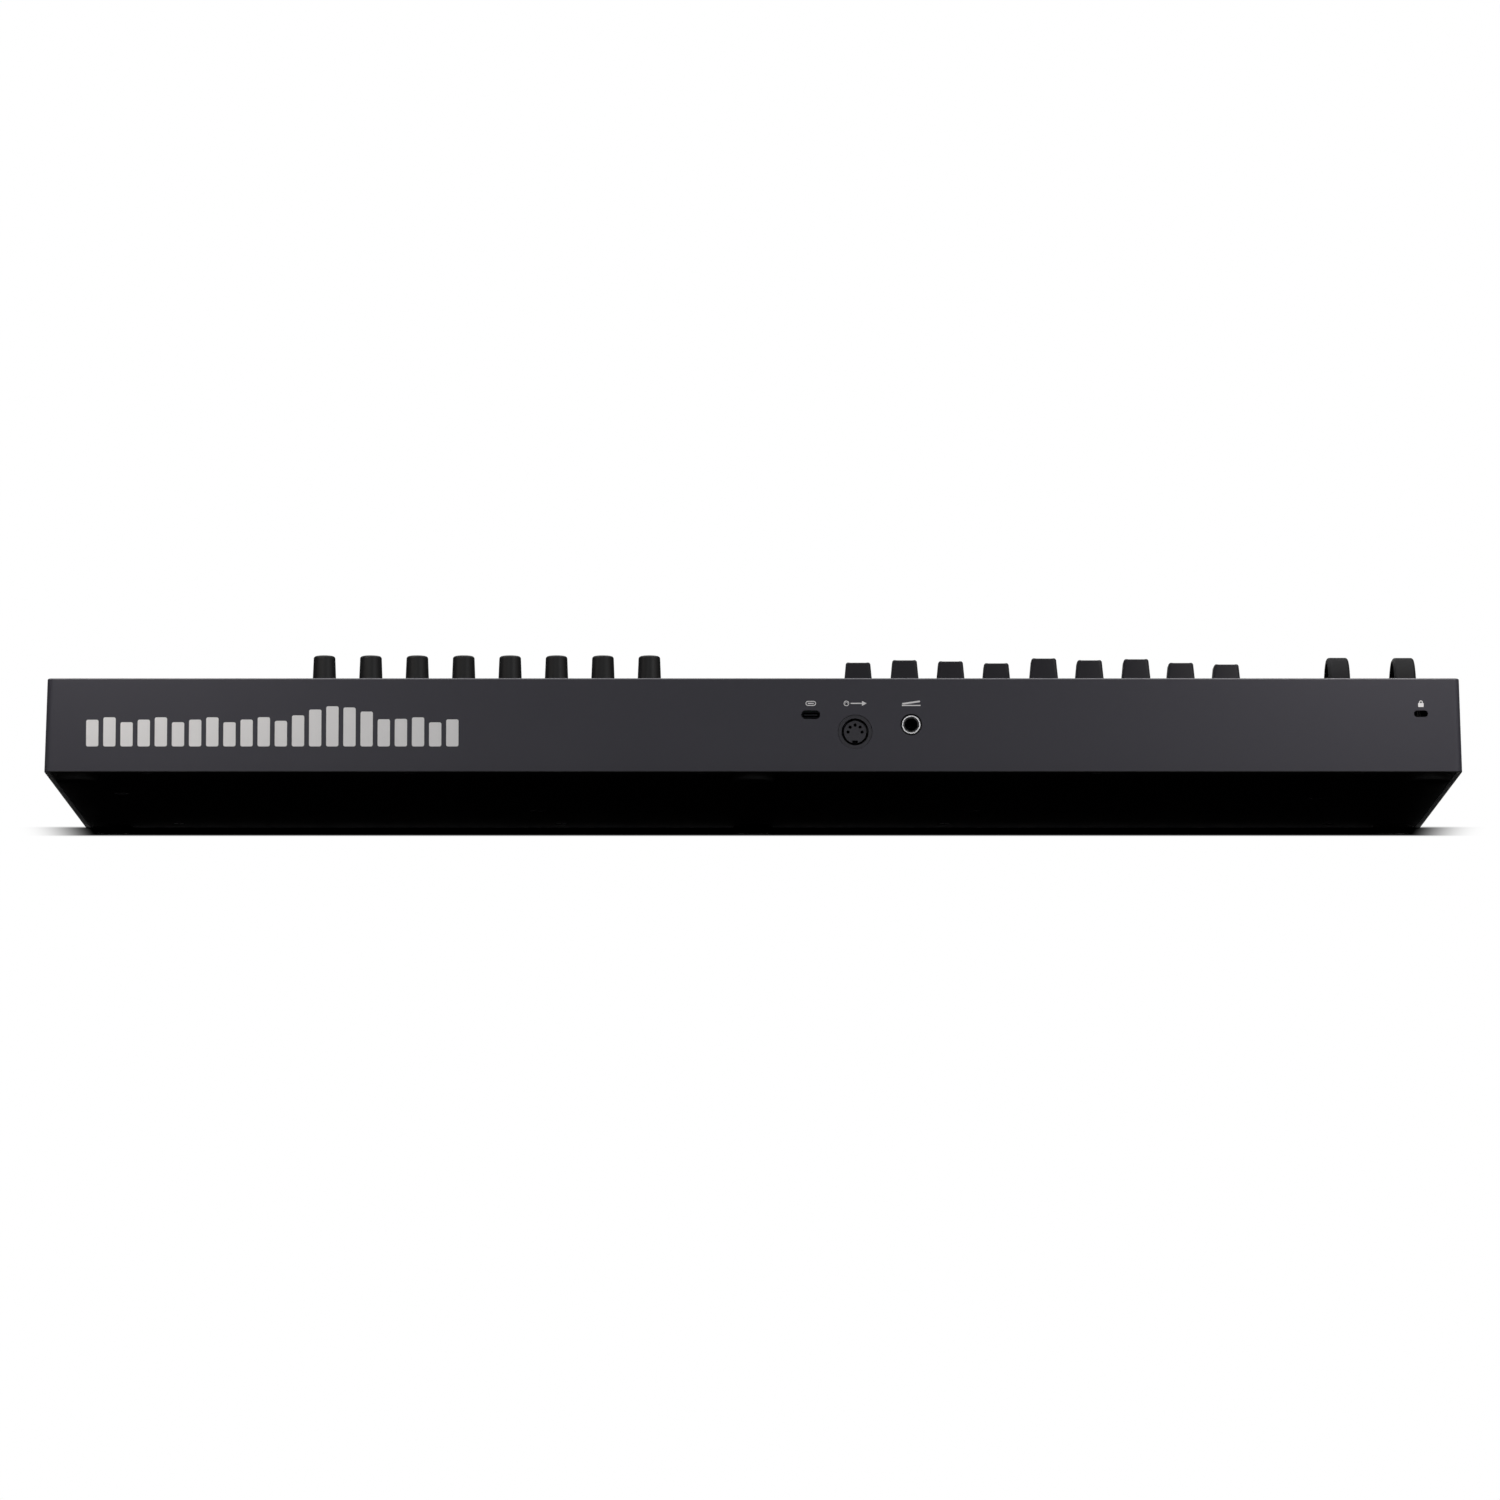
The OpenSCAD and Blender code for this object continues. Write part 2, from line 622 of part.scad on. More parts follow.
// A row of moulded buttons: caps through the panel on wider flanges below it
module buttons(places, size, top, flange = 1.4) for (p = places) {
    block(p.x - size.x / 2, p.x + size.x / 2, p.y - size.y / 2, p.y + size.y / 2, button_z0, top);
    block(p.x - size.x / 2 - flange, p.x + size.x / 2 + flange, p.y - size.y / 2 - flange,
        p.y + size.y / 2 + flange, button_z0, button_z0 + 2);
}

pad_colour = [0.75, 0.75, 0.76];
button_colour = [0.16, 0.16, 0.17];
module pads_upper() color(pad_colour) buttons(pad_xy(0), pad_size, pad_top);
module pads_lower() color(pad_colour) buttons(pad_xy(1), pad_size, pad_top);
module fader_buttons() color(button_colour) buttons(fader_button_xy, fader_button_size, button_top);
module transport_buttons() color(button_colour) buttons(transport_xy, transport_size, button_top);
module navigation_buttons() color(button_colour) buttons(navigation_xy, navigation_size, button_top);
module octave_buttons() color(button_colour) buttons(octave_xy, octave_size, button_top);

module display_module() color([0.1, 0.12, 0.12]) {
    block(-display_w / 2 + 2, display_w / 2 - 2, display_y - display_d / 2 + 2, display_y + display_d / 2 - 2,
        control_top_z, panel_under - 0.9);
}

module display_window() color([0.05, 0.05, 0.06]) {
    block(-display_w / 2, display_w / 2, display_y - display_d / 2, display_y + display_d / 2,
        panel_under - 0.01, case_top - 0.1);
    block(-display_w / 2 - 1.6, display_w / 2 + 1.6, display_y - display_d / 2 - 1.6,
        display_y + display_d / 2 + 1.6, panel_under - 0.8, panel_under);
}

// ---------- sockets ----------

module main_board() color([0.05, 0.25, 0.12]) difference() {
    block(-112, -8, 68, rear - wall - 1, main_z, main_z + board_t);
    for (p = main_screw_xy) translate([p.x, p.y, main_z - 1]) cylinder(r = 1.7, h = 4);
}

module usb_socket() color([0.75, 0.75, 0.77]) {
    y0 = rear - 9.5;
    y1 = rear - 1.2;
    bore = [usb_shell.x - 2 * usb_shell_t, usb_shell.y - 2 * usb_shell_t];
    difference() {
        slot_y(usb_x, usb_z, usb_shell.x, usb_shell.y, y0, y1);
        slot_y(usb_x, usb_z, bore.x, bore.y, y0 + 1, y1 + 1);
    }
    block(usb_x - 3.35, usb_x + 3.35, y0 + 0.9, y1 - 0.5, usb_z - 0.35, usb_z + 0.35);
    for (s = [-1, 1]) block(usb_x + s * 3 - 0.8, usb_x + s * 3 + 0.8, y0 + 1, y0 + 3, usb_z + 1.6, main_z);
}

// Round five pin socket: a collar, a ring gap, an insert with five holes and a key notch
module midi_socket() color([0.08, 0.08, 0.09]) difference() {
    union() {
        block(midi_x - 10, midi_x + 10, rear - 18, rear - wall - 0.2, midi_z - 9.8, main_z);
        rod_y(midi_x, midi_z, midi_face_d / 2, rear - wall - 1, rear - 0.5);
    }
    difference() {
        rod_y(midi_x, midi_z, midi_gap_r, rear - midi_depth, rear + 1);
        rod_y(midi_x, midi_z, midi_insert_r, rear - midi_depth - 1, rear - 1.2);
    }
    for (a = [0:45:180]) rod_y(midi_x + midi_pin_ring_r * cos(a), midi_z + midi_pin_ring_r * sin(a), midi_pin_r,
        rear - midi_depth, rear + 1);
    block(midi_x - 1.4, midi_x + 1.4, rear - midi_depth, rear, midi_z - midi_gap_r + 0.4, midi_z - 4.2);
}

// Pedal socket for a quarter inch plug: a moulded body and a metal nose
module sustain_jack() {
    y0 = rear - 32;
    y1 = rear - 0.4;
    color([0.08, 0.08, 0.09]) difference() {
        block(jack_x - 8, jack_x + 8, y0, rear - wall - 0.2, jack_z - 6.6, main_z);
        rod_y(jack_x, jack_z, jack_bore_r, y0 + 2, rear);
    }
    color([0.8, 0.8, 0.82]) difference() {
        rod_y(jack_x, jack_z, jack_nose_r, rear - wall - 0.15, y1);
        rod_y(jack_x, jack_z, jack_bore_r, rear - wall - 1, rear);
    }
}

// ---------- wiring and small screws ----------

ribbon_x = octave_x(1) + slot_x(5);
ribbon_z = 14;

// Flat cables: keys to socket board, socket board to control board, and wheels to control board
module ribbon_cables() color([0.6, 0.6, 0.6]) {
    prism_x([[contact_y1 - 1.5, contact_z], [contact_y1 - 1.5, ribbon_z - 0.5], [72.5, ribbon_z - 0.5],
        [72.5, main_z], [71.5, main_z], [71.5, ribbon_z + 0.5], [contact_y1 - 0.5, ribbon_z + 0.5],
        [contact_y1 - 0.5, contact_z]], 8, ribbon_x);
    prism_x([[84, main_z + board_t], [85, main_z + board_t], [85, control_z], [84, control_z]], 30, -60);
    prism_y([[mod_x + 12.5, wheel_z - 7], [mod_x + 12.5, wheel_z - 8], [-258, wheel_z - 8],
        [-256, wheel_z - 6], [-256, control_z], [-257, control_z], [-257, wheel_z - 6], [-259, wheel_z - 7]],
        8, wheel_y);
}

// Screws that hold the socket board down on its posts
module board_screws() color([0.7, 0.7, 0.72]) for (p = main_screw_xy)
    translate([p.x, p.y, main_z + board_t]) rotate([180, 0, 0]) {
        translate([0, 0, -1.2]) cylinder(r = 2.6, h = 1.2);
        cylinder(r = screw_r, h = 7);
    }

top_case();
bottom_case();
rubber_feet();
case_screws();
key_frame();
key_pivot_rod();
key_felts();
key_springs();
key_contact_board();
key_contact_strip();
control_board();
fader_units();
encoder_units();
display_module();
display_window();
main_board();
usb_socket();
midi_socket();
sustain_jack();
wheel_cradles();
wheel_spring();
ribbon_cables();
board_screws();
keys_c();
keys_c_sharp();
keys_d();
keys_d_sharp();
keys_e();
keys_f();
keys_f_sharp();
keys_g();
keys_g_sharp();
keys_a();
keys_a_sharp();
keys_b();
knob_1();
knob_2();
knob_3();
knob_4();
knob_5();
knob_6();
knob_7();
knob_8();
fader_1();
fader_2();
fader_3();
fader_4();
fader_5();
fader_6();
fader_7();
fader_8();
fader_9();
pitch_wheel();
mod_wheel();
pads_upper();
pads_lower();
fader_buttons();
transport_buttons();
navigation_buttons();
octave_buttons();
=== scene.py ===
# Looks of the keyboard controller: materials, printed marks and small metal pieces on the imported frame,
# seen from behind and from a little below, in front of a plain white studio.
import json
import math

import bmesh
import bpy
from mathutils import Matrix, Vector

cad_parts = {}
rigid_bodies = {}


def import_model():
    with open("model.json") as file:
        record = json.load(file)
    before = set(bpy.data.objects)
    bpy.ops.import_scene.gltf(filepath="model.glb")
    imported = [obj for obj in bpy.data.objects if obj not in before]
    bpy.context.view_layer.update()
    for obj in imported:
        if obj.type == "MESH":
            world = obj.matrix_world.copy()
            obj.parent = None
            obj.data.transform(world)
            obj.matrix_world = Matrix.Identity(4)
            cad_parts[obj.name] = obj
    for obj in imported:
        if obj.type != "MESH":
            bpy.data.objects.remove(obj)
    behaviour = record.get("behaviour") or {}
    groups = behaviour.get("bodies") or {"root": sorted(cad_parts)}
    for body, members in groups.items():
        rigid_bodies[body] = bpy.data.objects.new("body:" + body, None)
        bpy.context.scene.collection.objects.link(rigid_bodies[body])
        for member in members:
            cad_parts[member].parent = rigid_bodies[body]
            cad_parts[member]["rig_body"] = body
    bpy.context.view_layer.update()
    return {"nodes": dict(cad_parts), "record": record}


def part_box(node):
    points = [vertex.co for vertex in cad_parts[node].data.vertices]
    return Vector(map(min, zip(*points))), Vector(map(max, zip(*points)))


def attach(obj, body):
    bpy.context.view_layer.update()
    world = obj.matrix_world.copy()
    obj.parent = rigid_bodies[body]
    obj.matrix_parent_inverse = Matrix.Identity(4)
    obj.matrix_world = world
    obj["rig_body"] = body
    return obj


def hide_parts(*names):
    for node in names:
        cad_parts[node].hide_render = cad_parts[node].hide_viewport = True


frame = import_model()
NODES = frame["nodes"]
MM = 0.001


def mount(name):
    """A mount's position from the record."""
    return Vector(next(m["pos_m"] for m in frame["record"]["mounts"] if m["name"] == name))


CASE_LO, CASE_HI = (Vector(c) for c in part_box("top_case"))
REAR_Y = CASE_HI.y
PANEL_Z = CASE_HI.z
BASE_Z = CASE_LO.z
HALF_W = CASE_HI.x

# ---------------------------------------------------------------- camera

CAM_BEHIND = 4.0087  # metres, from the rear wall
CAM_HEIGHT = -0.4577  # metres, below the table: the case is seen from underneath
CAM_PITCH = 6.71  # degrees upward
CAM_LENS = 196.3  # on a 36 mm sensor
CAM_ASIDE = 0.0016  # metres, towards +X


def make_camera():
    data = bpy.data.cameras.new("camera")
    camera = bpy.data.objects.new("camera", data)
    bpy.context.scene.collection.objects.link(camera)
    data.sensor_width = 36
    data.lens = CAM_LENS
    data.clip_start, data.clip_end = 0.1, 60
    camera.location = (CAM_ASIDE, REAR_Y + CAM_BEHIND, CAM_HEIGHT)
    camera.rotation_euler = (math.radians(90 + CAM_PITCH), 0, math.radians(180))
    bpy.context.scene.camera = camera


make_camera()

# ---------------------------------------------------------------- material kit


def srgb(r, g, b):
    """Linear colour of an 8-bit display colour."""
    linear = []
    for c in (r / 255, g / 255, b / 255):
        linear.append(c / 12.92 if c <= 0.04045 else ((c + 0.055) / 1.055) ** 2.4)
    return (*linear, 1)


def set_range(node, *values):
    """Sets a Map Range node's From Min, From Max, To Min and To Max."""
    for key, value in zip(("From Min", "From Max", "To Min", "To Max"), values):
        node.inputs[key].default_value = value


class Mat:
    """A node material with one Principled shader and short calls to add what drives it."""

    def __init__(self, name, color, rough=0.5, metallic=0.0, specular=0.5,
                 coat=0.0, coat_rough=0.1, sheen=0.0):
        self.mat = bpy.data.materials.new(name)
        self.mat.use_nodes = True
        self.tree = self.mat.node_tree
        self.shader = self.tree.nodes["Principled BSDF"]
        s = self.shader.inputs
        s["Base Color"].default_value = color
        s["Roughness"].default_value = rough
        s["Metallic"].default_value = metallic
        s["Specular IOR Level"].default_value = specular
        s["Coat Weight"].default_value = coat
        s["Coat Roughness"].default_value = coat_rough
        s["Sheen Weight"].default_value = sheen
        self.coords = self.tree.nodes.new("ShaderNodeTexCoord").outputs["Object"]
        self.normal = None
        self.split = None

    def new(self, kind, **values):
        node = self.tree.nodes.new(kind)
        for key, value in values.items():
            if key in node.inputs:
                node.inputs[key].default_value = value
            else:
                setattr(node, key, value)
        return node

    def link(self, a, b):
        self.tree.links.new(a, b)

    def noise(self, size_mm, detail=3.0, rough=0.55, stretch=(1, 1, 1)):
        """Noise with features about size_mm across."""
        mapping = self.new("ShaderNodeMapping")
        mapping.inputs["Scale"].default_value = stretch
        self.link(self.coords, mapping.inputs["Vector"])
        node = self.new("ShaderNodeTexNoise", Scale=1000.0 / size_mm, Detail=detail, Roughness=rough)
        self.link(mapping.outputs["Vector"], node.inputs["Vector"])
        return node.outputs["Fac"]

    def ramp(self, value, stops):
        node = self.new("ShaderNodeValToRGB")
        ramp = node.color_ramp
        while len(ramp.elements) < len(stops):
            ramp.elements.new(0.5)
        for element, (place, color) in zip(ramp.elements, stops):
            element.position = place
            element.color = color if len(color) == 4 else (*color, 1)
        self.link(value, node.inputs["Fac"])
        return node.outputs["Color"]

    def remap(self, value, a, b, lo=0.0, hi=1.0):
        """Goes from a to b while the value goes from lo to hi."""
        node = self.new("ShaderNodeMapRange")
        set_range(node, lo, hi, a, b)
        self.link(value, node.inputs["Value"])
        return node.outputs["Result"]

    def mix(self, factor, a, b):
        node = self.new("ShaderNodeMix")
        node.data_type = "RGBA"
        for socket, value in ((node.inputs[0], factor), (node.inputs[6], a), (node.inputs[7], b)):
            if isinstance(value, (int, float, tuple)):
                socket.default_value = value
            else:
                self.link(value, socket)
        return node.outputs[2]

    def math(self, operation, a, b=0.0):
        node = self.new("ShaderNodeMath", operation=operation)
        for socket, value in zip(node.inputs, (a, b)):
            if isinstance(value, (int, float)):
                socket.default_value = value
            else:
                self.link(value, socket)
        return node.outputs[0]

    def bump(self, height, strength, distance_mm):
        node = self.new("ShaderNodeBump", Strength=strength, Distance=distance_mm * MM)
        self.link(height, node.inputs["Height"])
        if self.normal is not None:
            self.link(self.normal, node.inputs["Normal"])
        self.normal = node.outputs["Normal"]
        self.link(self.normal, self.shader.inputs["Normal"])

    def to_color(self, value):
        self.link(value, self.shader.inputs["Base Color"])

    def to_rough(self, value):
        self.link(value, self.shader.inputs["Roughness"])

    def axis(self, index):
        if self.split is None:
            self.split = self.new("ShaderNodeSeparateXYZ")
            self.link(self.coords, self.split.inputs[0])
        return self.split.outputs[index]


# ---------------------------------------------------------------- materials


def moulded(name, color, rough, grain_mm=0.35, grain=0.25, specular=0.4, shade=0.12, **more):
    """Moulded plastic or rubber: a fine surface grain, and faint clouds in colour and gloss."""
    m = Mat(name, color, rough=rough, specular=specular, **more)
    cloud = m.noise(40, detail=4)
    fine = m.noise(grain_mm, detail=2, rough=0.7)
    darker = tuple(c * (1 - shade) for c in color[:3]) + (1,)
    lighter = tuple(min(1.0, c * (1 + shade)) for c in color[:3]) + (1,)
    m.to_color(m.mix(m.math("MULTIPLY", m.math("ADD", cloud, fine), 0.5), darker, lighter))
    m.to_rough(m.remap(m.math("ADD", cloud, fine), rough - 0.06, rough + 0.06, 0.6, 1.4))
    m.bump(fine, grain, 0.05)
    return m


def case_plastic():
    """The case's moulded plastic, with a painted highlight along its top rear edge and painted shade that
    makes it nearly black under its rim.
    """
    m = moulded("case_plastic", srgb(50, 49, 57), 0.56,
                grain_mm=0.3, grain=0.3, specular=0.35, shade=0.05)
    color = m.shader.inputs["Base Color"].links[0].from_socket
    # Painted highlight: a paler, uneven band along the top rear edge, standing in for light caught by its
    # rounding.
    width = 0.8 * MM
    high = m.remap(m.axis(2), 0.0, 1.0, PANEL_Z - width, PANEL_Z - 0.5 * width)
    back = m.remap(m.axis(1), 0.0, 1.0, REAR_Y - width, REAR_Y - 0.85 * width)
    uneven = m.remap(m.noise(6, detail=3), 0.8, 1.0, 0.3, 0.7)
    painted_highlight = m.math("MULTIPLY", m.math("MULTIPLY", high, back), uneven)
    edged = m.mix(painted_highlight, color, srgb(98, 97, 102))
    # Painted shade: the case goes nearly black at its bottom edge and underside, standing in for the
    # shadow there.
    rim = m.remap(m.axis(2), 1.0, 0.0, BASE_Z + 0.1 * MM, BASE_Z + 0.25 * MM)
    m.to_color(m.mix(rim, edged, srgb(6, 6, 7)))
    return m


def metal(name, color, rough, stretch=(1, 1, 1), grain_mm=0.6, metallic=1.0):
    """Bare or plated metal with fine drawing marks along one axis."""
    m = Mat(name, color, rough=rough, metallic=metallic)
    marks = m.noise(grain_mm, detail=4, rough=0.65, stretch=stretch)
    m.to_color(m.mix(marks, tuple(c * 0.86 for c in color[:3]) + (1,), color))
    m.to_rough(m.remap(marks, rough - 0.08, rough + 0.1, 0.3, 0.7))
    m.bump(marks, 0.15, 0.02)
    return m


def board_laminate():
    """Green solder mask over copper tracks."""
    m = Mat("board_laminate", srgb(18, 74, 42), rough=0.35, specular=0.5, coat=0.3)
    mapping = m.new("ShaderNodeMapping")
    mapping.inputs["Scale"].default_value = (1, 1, 0.01)
    m.link(m.coords, mapping.inputs["Vector"])
    tracks = m.new("ShaderNodeTexVoronoi", distance="CHEBYCHEV", feature="DISTANCE_TO_EDGE")
    tracks.inputs["Scale"].default_value = 160
    m.link(mapping.outputs["Vector"], tracks.inputs["Vector"])
    lines = m.ramp(tracks.outputs["Distance"], [(0.0, (1, 1, 1)), (0.06, (1, 1, 1)), (0.09, (0, 0, 0))])
    m.to_color(m.mix(lines, srgb(14, 62, 36), srgb(34, 104, 60)))
    m.bump(lines, 0.3, 0.04)
    return m


def felt_cloth():
    m = Mat("felt", srgb(120, 26, 30), rough=0.95, specular=0.1, sheen=0.6)
    fibres = m.noise(0.5, detail=5, rough=0.75)
    m.to_color(m.mix(fibres, srgb(84, 14, 18), srgb(150, 40, 42)))
    m.bump(fibres, 0.8, 0.3)
    return m


def flat_cable():
    """Grey flat cable with a ridge for each wire, and painted shade: darker in the grooves, lighter on
    the crests.
    """
    m = Mat("cable_plastic", srgb(150, 150, 152), rough=0.5)
    wave = m.math("SINE", m.math("MULTIPLY", m.axis(0), 2 * math.pi / (1.27 * MM)))
    # Painted shade and highlight: the colour follows the ridges, darker in the grooves and lighter on the
    # crests.
    m.to_color(m.mix(m.remap(wave, 0.0, 1.0, -1.0, 1.0), srgb(120, 120, 123), srgb(168, 168, 170)))
    m.bump(wave, 0.5, 0.3)
    return m


def white_key_plastic():
    """Glossy ivory-white key plastic with shallow flow marks and a faint haze."""
    m = Mat("white_key_plastic", srgb(236, 236, 231), rough=0.24, specular=0.5,
            coat=0.25, coat_rough=0.12)
    flow = m.noise(30, detail=3, stretch=(1, 0.25, 1))
    haze = m.noise(9, detail=5, rough=0.6)
    m.to_color(m.mix(flow, srgb(234, 234, 229), srgb(238, 238, 234)))
    m.to_rough(m.remap(haze, 0.21, 0.27, 0.3, 0.7))
    m.bump(m.noise(6, detail=2), 0.03, 0.04)
    return m


def window_plastic():
    m = Mat("window_plastic", srgb(9, 9, 11), rough=0.07, specular=0.6, coat=0.6, coat_rough=0.03)
    smear = m.noise(14, detail=5, rough=0.6)
    m.to_color(m.mix(smear, srgb(7, 7, 9), srgb(13, 13, 15)))
    m.to_rough(m.remap(smear, 0.05, 0.14, 0.3, 0.7))
    return m


def pad_rubber():
    """Milky silicone, a little darker towards the bottom of its moulded sides."""
    m = Mat("pad_rubber", srgb(186, 186, 188), rough=0.62, specular=0.3, sheen=0.1)
    m.shader.inputs["Subsurface Weight"].default_value = 0.12
    m.shader.inputs["Subsurface Radius"].default_value = (0.002, 0.002, 0.002)
    side = m.remap(m.axis(2), 0.0, 1.0, PANEL_Z - 1.0 * MM, PANEL_Z + 1.6 * MM)
    fine = m.noise(0.3, detail=2, rough=0.7)
    body = m.mix(side, srgb(128, 128, 131), srgb(188, 188, 190))
    m.to_color(m.mix(m.math("MULTIPLY", fine, 0.25), body, srgb(214, 214, 216)))
    m.bump(fine, 0.2, 0.04)
    return m


def print_ink(name, level):
    """Screen-printed ink of one grey level, a little uneven."""
    m = Mat(name, srgb(level, level - 1, level), rough=0.55, specular=0.3)
    grain = m.noise(0.25, detail=3, rough=0.7)
    darker, lighter = (srgb(v, v - 1, v) for v in (level - 8, level + 8))
    m.to_color(m.mix(grain, darker, lighter))
    m.to_rough(m.remap(grain, 0.48, 0.62, 0.3, 0.7))
    return m


MAT = {
    "case_plastic": case_plastic(),
    "base_plastic": moulded("base_plastic", srgb(14, 14, 15), 0.85,
                            grain_mm=0.6, grain=0.5, specular=0.1),
    "foot_rubber": moulded("foot_rubber", srgb(22, 22, 22), 0.88, grain_mm=0.5, grain=0.5, specular=0.2),
    "frame_plastic": moulded("frame_plastic", srgb(34, 34, 36), 0.6),
    "socket_plastic": moulded("socket_plastic", srgb(24, 24, 26), 0.5, grain_mm=0.25),
    "socket_face": moulded("socket_face", srgb(41, 40, 47), 0.5, grain_mm=0.25, shade=0.05),
    "contact_rubber": moulded("contact_rubber", srgb(150, 150, 148), 0.7),
    "display_panel": moulded("display_panel", srgb(30, 36, 38), 0.3, grain_mm=1.2, grain=0.05),
    "black_key_plastic": moulded("black_key_plastic", srgb(24, 24, 25), 0.42,
                                 grain_mm=0.4, grain=0.35, coat=0.08),
    "knob_rubber": moulded("knob_rubber", srgb(12, 12, 14), 0.52,
                           grain_mm=0.22, grain=0.15, specular=0.33),
    "fader_plastic": moulded("fader_plastic", srgb(30, 29, 34), 0.58,
                             grain_mm=0.25, grain=0.2, specular=0.18),
    "wheel_rubber": moulded("wheel_rubber", srgb(17, 17, 19), 0.7,
                            grain_mm=0.25, grain=0.15, specular=0.1),
    "button_rubber": moulded("button_rubber", srgb(52, 52, 55), 0.66,
                             grain_mm=0.25, grain=0.25, specular=0.3),
    "screw_steel": metal("screw_steel", srgb(66, 66, 70), 0.45),
    "rod_steel": metal("rod_steel", srgb(190, 190, 194), 0.3, stretch=(0.05, 1, 1)),
    "spring_steel": metal("spring_steel", srgb(186, 186, 190), 0.3, stretch=(1, 1, 4)),
    "unit_metal": metal("unit_metal", srgb(172, 172, 176), 0.38, stretch=(1, 0.1, 1)),
    "socket_metal": metal("socket_metal", srgb(242, 242, 244), 0.45, stretch=(1, 0.2, 1), metallic=0.7),
    "dull_metal": metal("dull_metal", srgb(34, 34, 37), 0.55),
    "board_laminate": board_laminate(),
    "felt": felt_cloth(),
    "cable_plastic": flat_cable(),
    "white_key_plastic": white_key_plastic(),
    "window_plastic": window_plastic(),
    "pad_rubber": pad_rubber(),
}
INK = print_ink("print_ink", 176)
BRIGHT_INK = print_ink("bright_ink", 214)

SLOT_OF = {s["node"]: s["material_slot"] for s in frame["record"]["subparts"]}
for name, obj in NODES.items():
    for material_slot in obj.material_slots:
        material_slot.material = MAT[SLOT_OF[name]].mat
# The USB socket's shell gets the dark metal: painted shade standing in for the shadow inside its recess.
NODES["usb_socket"].material_slots[0].material = MAT["dull_metal"].mat
NODES["midi_socket"].material_slots[0].material = MAT["socket_face"].mat

# ---------------------------------------------------------------- edges of the moulded pieces


def soften(node, width_mm, segments=3, angle=32):
    """Rounds a CAD node's sharp edges with modifiers, which leave its own mesh as it is."""
    obj = NODES[node]
    weld = obj.modifiers.new("weld", "WELD")
    weld.merge_threshold = 0.002 * MM
    bevel = obj.modifiers.new("bevel", "BEVEL")
    bevel.width = width_mm * MM
    bevel.segments = segments
    bevel.limit_method = "ANGLE"
    bevel.angle_limit = math.radians(angle)
    bevel.miter_outer = "MITER_ARC"
    bevel.use_clamp_overlap = True
    bevel.harden_normals = True


def named(start):
    return sorted(n for n in NODES if n.startswith(start))


for n in named("keys_"):
    soften(n, 0.9 if n.endswith("sharp") else 0.6)
for n in named("pads_"):
    soften(n, 0.9)
for n in ("fader_buttons", "transport_buttons", "navigation_buttons", "octave_buttons"):
    soften(n, 0.5)
for n in ("display_window", "control_board", "main_board", "key_contact_board"):
    soften(n, 0.25, segments=2)

# ---------------------------------------------------------------- mesh helpers


def piece(name, bm, material, smooth_angle=40, body="case"):
    """Turns a bmesh into a named piece on a body."""
    bmesh.ops.recalc_face_normals(bm, faces=bm.faces)
    mesh = bpy.data.meshes.new(name)
    bm.to_mesh(mesh)
    bm.free()
    mesh.shade_smooth()
    mesh.set_sharp_from_angle(angle=math.radians(smooth_angle))
    mesh.materials.append(material)
    obj = bpy.data.objects.new(name, mesh)
    bpy.context.scene.collection.objects.link(obj)
    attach(obj, body)
    return obj


def rounded(cx, cy, w, h, r, steps=5):
    """Outline of a rectangle with round corners, counter-clockwise."""
    r = min(r, w / 2, h / 2)
    points = []
    for k, (sx, sy) in enumerate(((1, 1), (-1, 1), (-1, -1), (1, -1))):
        for i in range(steps + 1):
            a = math.pi / 2 * (k + i / steps)
            points.append((cx + sx * (w / 2 - r) + r * math.cos(a),
                           cy + sy * (h / 2 - r) + r * math.sin(a)))
    return points


def disc(cx, cy, r, steps=24):
    """Outline of a circle."""
    turns = [2 * math.pi * i / steps for i in range(steps)]
    return [(cx + r * math.cos(a), cy + r * math.sin(a)) for a in turns]


def skin(bm, rings):
    """Faces from each ring of points to the next."""
    for a, b in zip(rings, rings[1:]):
        for i in range(len(a)):
            j = (i + 1) % len(a)
            bm.faces.new((a[i], a[j], b[j], b[i]))


def prism(bm, low, high):
    """A solid between two rings of points."""
    bm.faces.new(high)
    bm.faces.new(list(reversed(low)))
    skin(bm, [low, high])


class Print:
    """Thin printed shapes on a plane, given by its origin, two directions along it and its normal."""

    THICK = 0.03 * MM
    SUNK = 0.02 * MM

    def __init__(self, origin, right, up):
        self.origin, self.right, self.up = Vector(origin), Vector(right), Vector(up)
        self.out = self.right.cross(self.up)
        self.bm = bmesh.new()

    def at(self, u, v, height):
        return self.bm.verts.new(self.origin + (self.right * u + self.up * v) * MM + self.out * height)

    def fill(self, outline):
        """A solid shape, in millimetres along the plane."""
        low = [self.at(u, v, -self.SUNK) for u, v in outline]
        high = [self.at(u, v, self.THICK) for u, v in outline]
        prism(self.bm, low, high)

    def ring(self, outer, inner):
        """A band between two outlines that have the same number of points."""
        heights = (-self.SUNK, self.THICK)
        low_out, high_out = ([self.at(u, v, h) for u, v in outer] for h in heights)
        low_in, high_in = ([self.at(u, v, h) for u, v in inner] for h in heights)
        skin(self.bm, [high_out, high_in, low_in, low_out, high_out])

    def line(self, u0, v0, u1, v1, width):
        """A straight stroke with square ends."""
        along = Vector((u1 - u0, v1 - v0)).normalized()
        side = Vector((-along.y, along.x)) * width / 2
        self.fill([(u0 + side.x, v0 + side.y), (u0 - side.x, v0 - side.y),
                   (u1 - side.x, v1 - side.y), (u1 + side.x, v1 + side.y)])

    def done(self, name, material=None, body="case"):
        return piece(name, self.bm, material or INK.mat, body=body)


def rear_print(x, z):
    """A print on the rear wall about a point, with u to the right as seen from behind."""
    return Print((x, REAR_Y, z), (-1, 0, 0), (0, 0, 1))


def panel_print(x=0.0, y=0.0):
    return Print((x, y, PANEL_Z), (1, 0, 0), (0, 1, 0))


